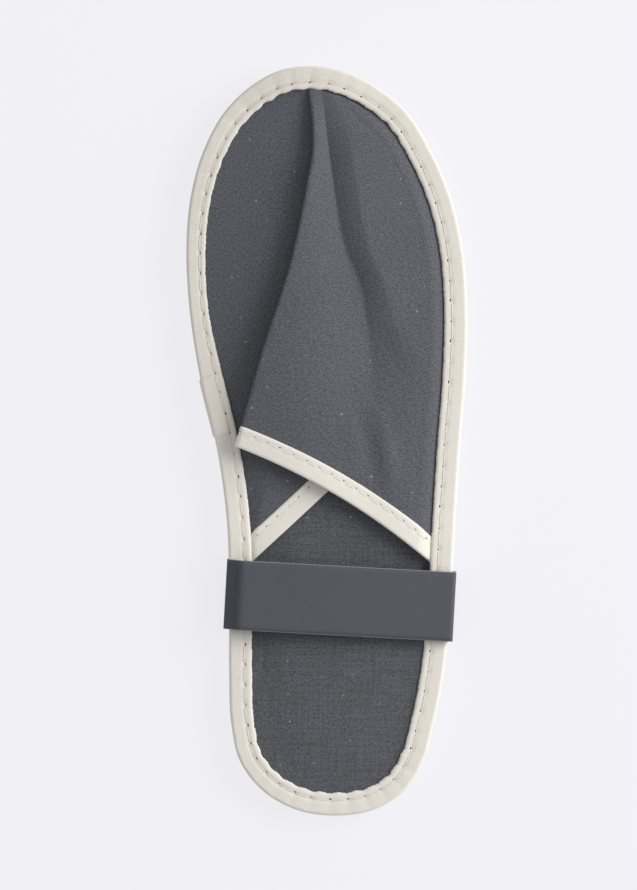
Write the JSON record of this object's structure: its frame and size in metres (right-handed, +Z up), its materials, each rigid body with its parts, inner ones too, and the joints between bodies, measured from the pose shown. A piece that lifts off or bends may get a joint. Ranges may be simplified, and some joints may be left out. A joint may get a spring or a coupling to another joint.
{
  "type": "hotel slipper",
  "caption": "Closed-toe hotel slipper for the right foot, in grey linen-look cloth with cream bindings, its slack upper folded in a deep pleat and a paper band round the waist.",
  "frame": {"origin": "on the floor, under the middle of the sole's box", "axes": "+X to the outer side of the right foot, +Y from heel to toe, +Z up from the floor"},
  "size_m": [0.105, 0.28, 0.017],
  "materials": {
    "pale_foam": "matt foam sheet",
    "slate_cloth": "slubby linen weave",
    "cream_tape": "fine cotton tape",
    "slate_paper": "smooth uncoated card"
  },
  "bodies": {
    "root": {"outsole": "pale_foam", "insole": "slate_cloth", "edge_binding": "cream_tape", "upper": "slate_cloth", "collar_binding": "cream_tape", "paper_band": "slate_paper"}
  },
  "joints": []
}
